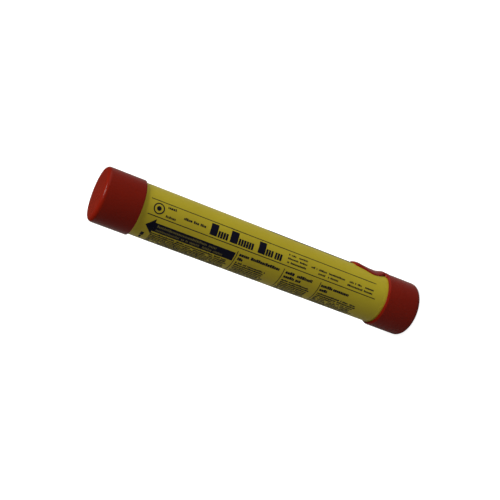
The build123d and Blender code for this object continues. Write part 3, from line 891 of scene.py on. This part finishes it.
tabShape = {
    "up": (0.1, 0.5, 1.2, 2.2, 3.6, 5.5, 7.6, 10.4, 13.0, 16.0, 19.3, 22.9, 26.0, 29.0, 30.8, 31.35),
    "half": (9.3, 8.1, 7.3, 7.4, 8.4, 9.6, 10.6, 11.5, 11.75, 11.4, 10.4, 9.1, 8.3, 7.1, 4.4, 0.3),
    "crestUp": (0.1, 0.8, 1.6, 2.8, 4.2, 6.2, 8.0, 12.0, 16.0, 19.0, 23.0, 27.0, 29.5, 31.6),
    "crest": (2.15, 2.46, 2.4, 2.05, 1.7, 1.2, 0.85, 0.78, 0.9, 1.15, 1.55, 1.95, 1.65, 1.0),
    "clear": 0.12, "thin": 0.16, "leastHalf": 0.25, "sideRound": 1.3, "tipRound": 1.2, "tipKeep": 0.35,
    "tipShare": 0.4, "bend": 5.0,
}


# the tab: at each distance up from the rim, a thin curved section on the tube. Across it, y = v * half
# width and x = sqrt(r^2 - y^2), where r falls off near the sides and the tip as a quarter round,
# sqrt(1 - (1 - d)^2) at d round radii from the edge. The rows crowd towards the tip as a sine
def makeTab(s):
    def quarter(inset, radius):
        return np.sqrt(np.clip(1 - (1 - np.clip(inset / radius, 0, 1)) ** 2, 0, 1))

    body = 1 - s["tipShare"]
    crowded = body + s["tipShare"] * np.sin(np.linspace(0, np.pi / 2, 50))[1:]
    share = np.concatenate([np.linspace(0, body, 70), crowded])
    up = s["up"][0] + (s["up"][-1] - s["up"][0]) * share
    half = np.maximum(smoothCurve(up, s["up"], s["half"]), s["leastHalf"])[:, None]
    crest = smoothCurve(up, s["crestUp"], s["crest"])[:, None]
    v = np.sin(np.linspace(-np.pi / 2, np.pi / 2, 41))[None, :]
    y = half * v
    side = quarter(half * (1 - np.abs(v)), s["sideRound"])
    tip = quarter(up[-1] - up, s["tipRound"])[:, None]
    inner = tubeR + s["clear"] + 0 * y
    full = (crest - s["clear"] - s["thin"]) * side
    outer = inner + s["thin"] + full * (s["tipKeep"] + (1 - s["tipKeep"]) * tip)
    z = footHigh + up[:, None] + 0 * y
    top, under = [np.stack([np.sqrt(r**2 - y**2), y, z], -1) for r in (outer, inner)]
    skin = np.concatenate([top, under[:, ::-1], top[:, :1]], 1)
    ends = [np.stack([top[i], under[i]], 0) for i in (0, -1)]
    piece = gridMesh("thumbTab", [grid * mm for grid in (skin, *ends)], sharp=40)
    piece.data.materials.append(finishes["capRed"])
    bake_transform(piece)
    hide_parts("thumb_tab")


makeBottomCap(footShape)
makeTopCap(headShape)
makeTab(tabShape)
print("caps and tab made")


# CAD nodes that keep their own shape and only get a finish
keptNodes = {
    "igniter_body": "bodyBlack", "lever_pin": "steel", "trigger_lever": "leverGrey",
    "striker_spring": "steel", "swivel_eye": "steel",
}
for node, finish in keptNodes.items():
    mesh = nodes[node].data
    mesh.materials.clear()
    mesh.materials.append(finishes[finish])

# each turned piece: its CAD node, body, finish, slot, and corners (r, height above the node's foot,
# rounding) in mm. Sections that don't touch the axis are rings, and wide pieces get more segments
turnedParts = {
    "strikerBody": ("striker", "striker", "brass", "brass", [
        (0, 0, 0), (2.5, 0, 0.8), (2.5, 5.5, 0.2), (3.9, 5.5, 0.4), (3.9, 7.9, 0.1), (3.5, 8.2, 0.1),
        (3.5, 9.0, 0.1), (3.9, 9.3, 0.1), (3.9, 12.5, 0.4), (2.2, 12.5, 0.2), (2.2, 17.5, 0.3),
        (1.03, 17.5, 0.1), (1.03, 14.5, 0), (0, 14.5, 0)]),
    "firingPin": ("firing_pin", "striker", "steel", "steel", [
        (0, 0, 0), (1.0, 0, 0.1), (1.0, 6.15, 0.6), (0.55, 7.25, 0.4), (0, 7.25, 0)]),
    "primerCup": ("percussion_primer", "launcher", "brass", "brass", [
        (0, 0, 0), (2.25, 0, 0.4), (2.25, 2.8, 0.2), (0, 2.8, 0)]),
    "motorNozzle": ("nozzle", "rocket", "graphite", "graphite", [
        (9.0, 0, 0.3), (17.95, 0, 0.6), (17.95, 18.0, 0.3), (10.0, 18.0, 0.3), (3.5, 11.0, 2.0),
        (3.5, 9.0, 2.0)]),
    "nozzleFoil": ("nozzle_seal", "rocket", "foil", "foil", [
        (0, 0.15, 0), (8.0, 0.15, 0.5), (8.6, 0, 0.3), (19.0, 0, 0.2), (19.0, 0.7, 0.2), (0, 0.7, 0)]),
    "motorCase": ("motor_case", "rocket", "aluminium", "aluminium", [
        (18.05, 0, 0.3), (19.6, 0, 0.5), (19.6, 3.2, 0.3), (19.25, 3.9, 0.3), (19.25, 4.7, 0.3),
        (19.6, 5.4, 0.3), (19.6, 94.2, 0.3), (19.25, 94.9, 0.3), (19.25, 95.7, 0.3), (19.6, 96.4, 0.3),
        (19.6, 102.0, 0.4), (18.05, 102.0, 0.2)]),
    "motorGrain": ("propellant_grain", "rocket", "grainGrey", "grain_grey", [
        (5.5, 0, 0.6), (17.9, 0, 0.8), (17.9, 68.0, 0.8), (5.5, 68.0, 0.6)]),
    "headPlug": ("motor_head_plug", "rocket", "plugTan", "plug_tan", [
        (3.0, 0, 0.3), (17.95, 0, 0.5), (17.95, 14.05, 0.1), (18.5, 14.05, 0.1), (18.5, 22.05, 0.6),
        (3.0, 22.05, 0.4)]),
    "delayRod": ("delay_element", "rocket", "brass", "brass", [
        (0, 0, 0), (2.95, 0, 0.4), (2.95, 20.0, 0.4), (0, 20.0, 0)]),
    "ejectionCup": ("ejection_cup", "rocket", "aluminium", "aluminium", [
        (2.0, 0, 0.2), (18.4, 0, 0.9), (18.4, 8.0, 0.4), (17.2, 8.0, 0.3), (17.2, 1.2, 0.6),
        (2.0, 1.2, 0.2)]),
    "payloadTube": ("payload_tube", "rocket", "aluminium", "aluminium", [
        (18.6, 0, 0.2), (19.6, 0, 0.3), (19.6, 2.9, 0.3), (19.35, 3.5, 0.2), (19.35, 4.1, 0.2),
        (19.6, 4.7, 0.3), (19.6, 117.9, 0.35), (18.6, 117.9, 0.35)]),
    "candleCase": ("candle_case", "payload", "aluminium", "aluminium", [
        (0, 54.0, 0), (17.6, 54.0, 1.0), (17.6, 3.0, 0.3), (17.3, 2.5, 0.2), (17.3, 1.9, 0.2),
        (17.6, 1.4, 0.3), (17.6, 0, 0.3), (16.6, 0, 0.3), (16.6, 52.5, 0.5), (0, 52.5, 0)]),
    "lightCandle": ("light_candle", "payload", "candlePale", "candle_pale", [
        (0, 0.4, 0), (6.0, 0.4, 0.6), (7.5, 0, 0.6), (16.5, 0, 0.5), (16.5, 51.8, 0.5), (0, 51.8, 0)]),
    "noseCap": ("nose_cap", "nose", "noseWhite", "nose_white", [
        (0, 15.5, 0), (15.5, 15.5, 1.5), (15.5, 0, 0.3), (18.55, 0, 0.3), (18.55, 5.1, 0.05),
        (19.6, 5.1, 0.2), (19.6, 18.0, 5.0), (6.0, 18.0, 0.8), (5.2, 17.5, 0.5), (0, 17.5, 0)]),
    "muzzleFoil": ("muzzle_seal_disc", "nose", "foil", "foil", [
        (0, 0, 0), (19.8, 0, 0.3), (19.8, 1.4, 0.3), (17.6, 1.4, 0.4), (17.0, 1.0, 0.4), (0, 1.0, 0)]),
    "primerHolder": ("primer_holder", "launcher", "aluminium", "aluminium", [
        (2.3, 0, 0.2), (6.95, 0, 0.4), (6.95, 10.0, 0.4), (2.5, 10.0, 0.2), (2.5, 6.0, 0.1),
        (1.6, 6.0, 0.1), (1.6, 3.0, 0.1), (2.3, 3.0, 0.1)]),
    "flashTube": ("flash_tube", "launcher", "brass", "brass", [
        (1.6, 0, 0.1), (2.45, 0, 0.2), (2.45, 6.7, 0.25), (1.6, 6.7, 0.2)]),
    "retainingRing": ("striker_retainer", "launcher", "steel", "steel", [
        (2.75, 0, 0.3), (3.97, 0, 0.3), (3.97, 1.5, 0.3), (2.75, 1.5, 0.3)]),
}
for name, (node, body, finish, slot, corners) in turnedParts.items():
    foot = nodeSize(node)[1]
    placed = [(r, foot + height, edge) for r, height, edge in corners]
    turnedPiece(name, node, body, finishes[finish], slot, placed, segments=96 if corners[1][0] > 5 else 40,
                closed=corners[0][0] > 0)
print("turned pieces made")


chuteShape = {
    "node": "packed_parachute", "clear": 0.2, "pleats": 14, "depth": 0.9, "sideEnd": 0.985, "crowd": 1.6,
    "endPower": 7, "swirl": 0.6, "star": 0.8,
    "bands": (0.3, 0.72), "bandShare": 0.055, "squeeze": 1.6,
    "bandLift": 0.4, "bandHalf": (0.6, 2.2),
}


# the folded canopy: r = (R - pleat depth * (1 - |sin(n a / 2 + wander)|) - squeeze under each band) * e,
# where e = (1 - |t|^7)^(1/7) rounds the ends as t runs from -1 to 1. Each end closes in a gathered
# star, as the last ring shrinks to the axis
def makeParachute(s):
    low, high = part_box(s["node"])
    clear, squeezed = s["clear"] * mm, s["squeeze"] * mm
    radius, z0, z1 = high.x - clear, low.z + clear, high.z - clear
    a = np.linspace(0, 2 * np.pi, 224, endpoint=False)[None, :]
    side = np.linspace(-s["sideEnd"], s["sideEnd"], 61)[:, None]
    t = np.sign(side) * (1 - (1 - np.abs(side)) ** s["crowd"])
    h = 0.5 + 0.5 * t
    rounding = (1 - np.abs(t) ** s["endPower"]) ** (1 / s["endPower"])
    wander = 0.35 * np.sin(3 * a + 5 * h) + 0.22 * np.sin(5 * a - 7 * h)
    fold = np.abs(np.sin(s["pleats"] * a / 2 + wander))
    squeeze = sum(np.exp(-(((h - b) / s["bandShare"]) ** 2)) for b in s["bands"])
    r = np.clip((radius - s["depth"] * mm * (1 - fold) - squeezed * squeeze) * rounding, 0, None)
    swirl = s["swirl"] * mm * np.sin(s["pleats"] * a + 3 * wander) * (1 - rounding)
    rings = around(r, a, z0 + (z1 - z0) * h + swirl)
    ends = []
    for i, sign in ((0, 1), (-1, -1)):
        q = np.linspace(1, 0, 14)[1:, None]
        rim, middle = rings[i], rings[i][:, 2].mean()
        flat = rim[None, :, :] * np.concatenate([q, q, 0 * q], 1)[:, None, :]
        gather = sign * s["star"] * mm * (1 - q) * (0.4 + 0.6 * fold[i][None, :] * q)
        flat[..., 2] = middle + (rim[None, :, 2] - middle) * q + gather
        ends.append(flat)
    grid = np.concatenate([ends[0][::-1], rings, ends[1]])
    piece = gridMesh("foldedCanopy", [grid], wrapColumns=True, sharp=70)
    finishPiece(piece, "payload", finishes["chuteCloth"], "chute_cloth", s["node"])
    bandR, (thick, half) = radius - squeezed + s["bandLift"] * mm, s["bandHalf"]
    for b in s["bands"]:
        ring = ovalSection(bandR, z0 + (z1 - z0) * b, thick * mm, half * mm, 12)
        band = gridMesh("canopyBand", [turnedGrid(ring, 120)], wrapRows=True, wrapColumns=True, sharp=70)
        finishPiece(band, "payload", finishes["tapeWhite"], "chute_cloth")


discShape = {"clear": 0.1, "rim": 0.9, "rimHigh": 0.25, "sink": 1.6}
discs = {
    "feltWad": {"node": "wadding_disc", "body": "payload", "finish": "felt", "slot": "felt",
                "fill": 1.0, "dimple": 0.12},
    "capFoam": {"node": "cap_pad", "body": "top_cap", "finish": "foamGrey", "slot": "foam",
                "fill": 1.0, "dimple": 0.08},
}


# a pressed disc with a soft edge and shallow dimples: at q of its radius, z = +-(half * (k + (1 - k) e)
# - sink + wave * (1 - q)), where e falls off past the rim as a quarter round
def makeDisc(name, s):
    low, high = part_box(s["node"])
    clear, dimple = discShape["clear"] * mm, s["dimple"] * mm
    rim, keep = discShape["rim"], discShape["rimHigh"]
    radius, half, middle = high.x - clear, (high.z - low.z) / 2 - clear, (high.z + low.z) / 2
    edge = rim + (1 - rim) * np.sin(np.linspace(0, np.pi / 2, 9))[1:]
    q = np.concatenate([np.linspace(0, rim, 24), edge])[:, None]
    a = np.linspace(0, 2 * np.pi, 120, endpoint=False)[None, :]
    e = np.sqrt(np.clip(1 - np.clip((q - rim) / (1 - rim), 0, 1) ** 2, 0, 1))
    wave = dimple * (np.sin(9 * a + 11 * q) * np.sin(17 * q) + 0.6 * np.sin(23 * a - 15 * q) * q)
    z = half * (keep + (1 - keep) * e) - dimple * discShape["sink"] + wave * (1 - q)
    grid = np.concatenate([around(radius * q, a, middle + z), around(radius * q, a, middle - z)[::-1]])
    piece = gridMesh(name, [grid], wrapColumns=True, sharp=60)
    finishPiece(piece, s["body"], finishes[s["finish"]], s["slot"], s["node"])


makeParachute(chuteShape)
for name, s in discs.items():
    makeDisc(name, s)
print("soft pieces made")
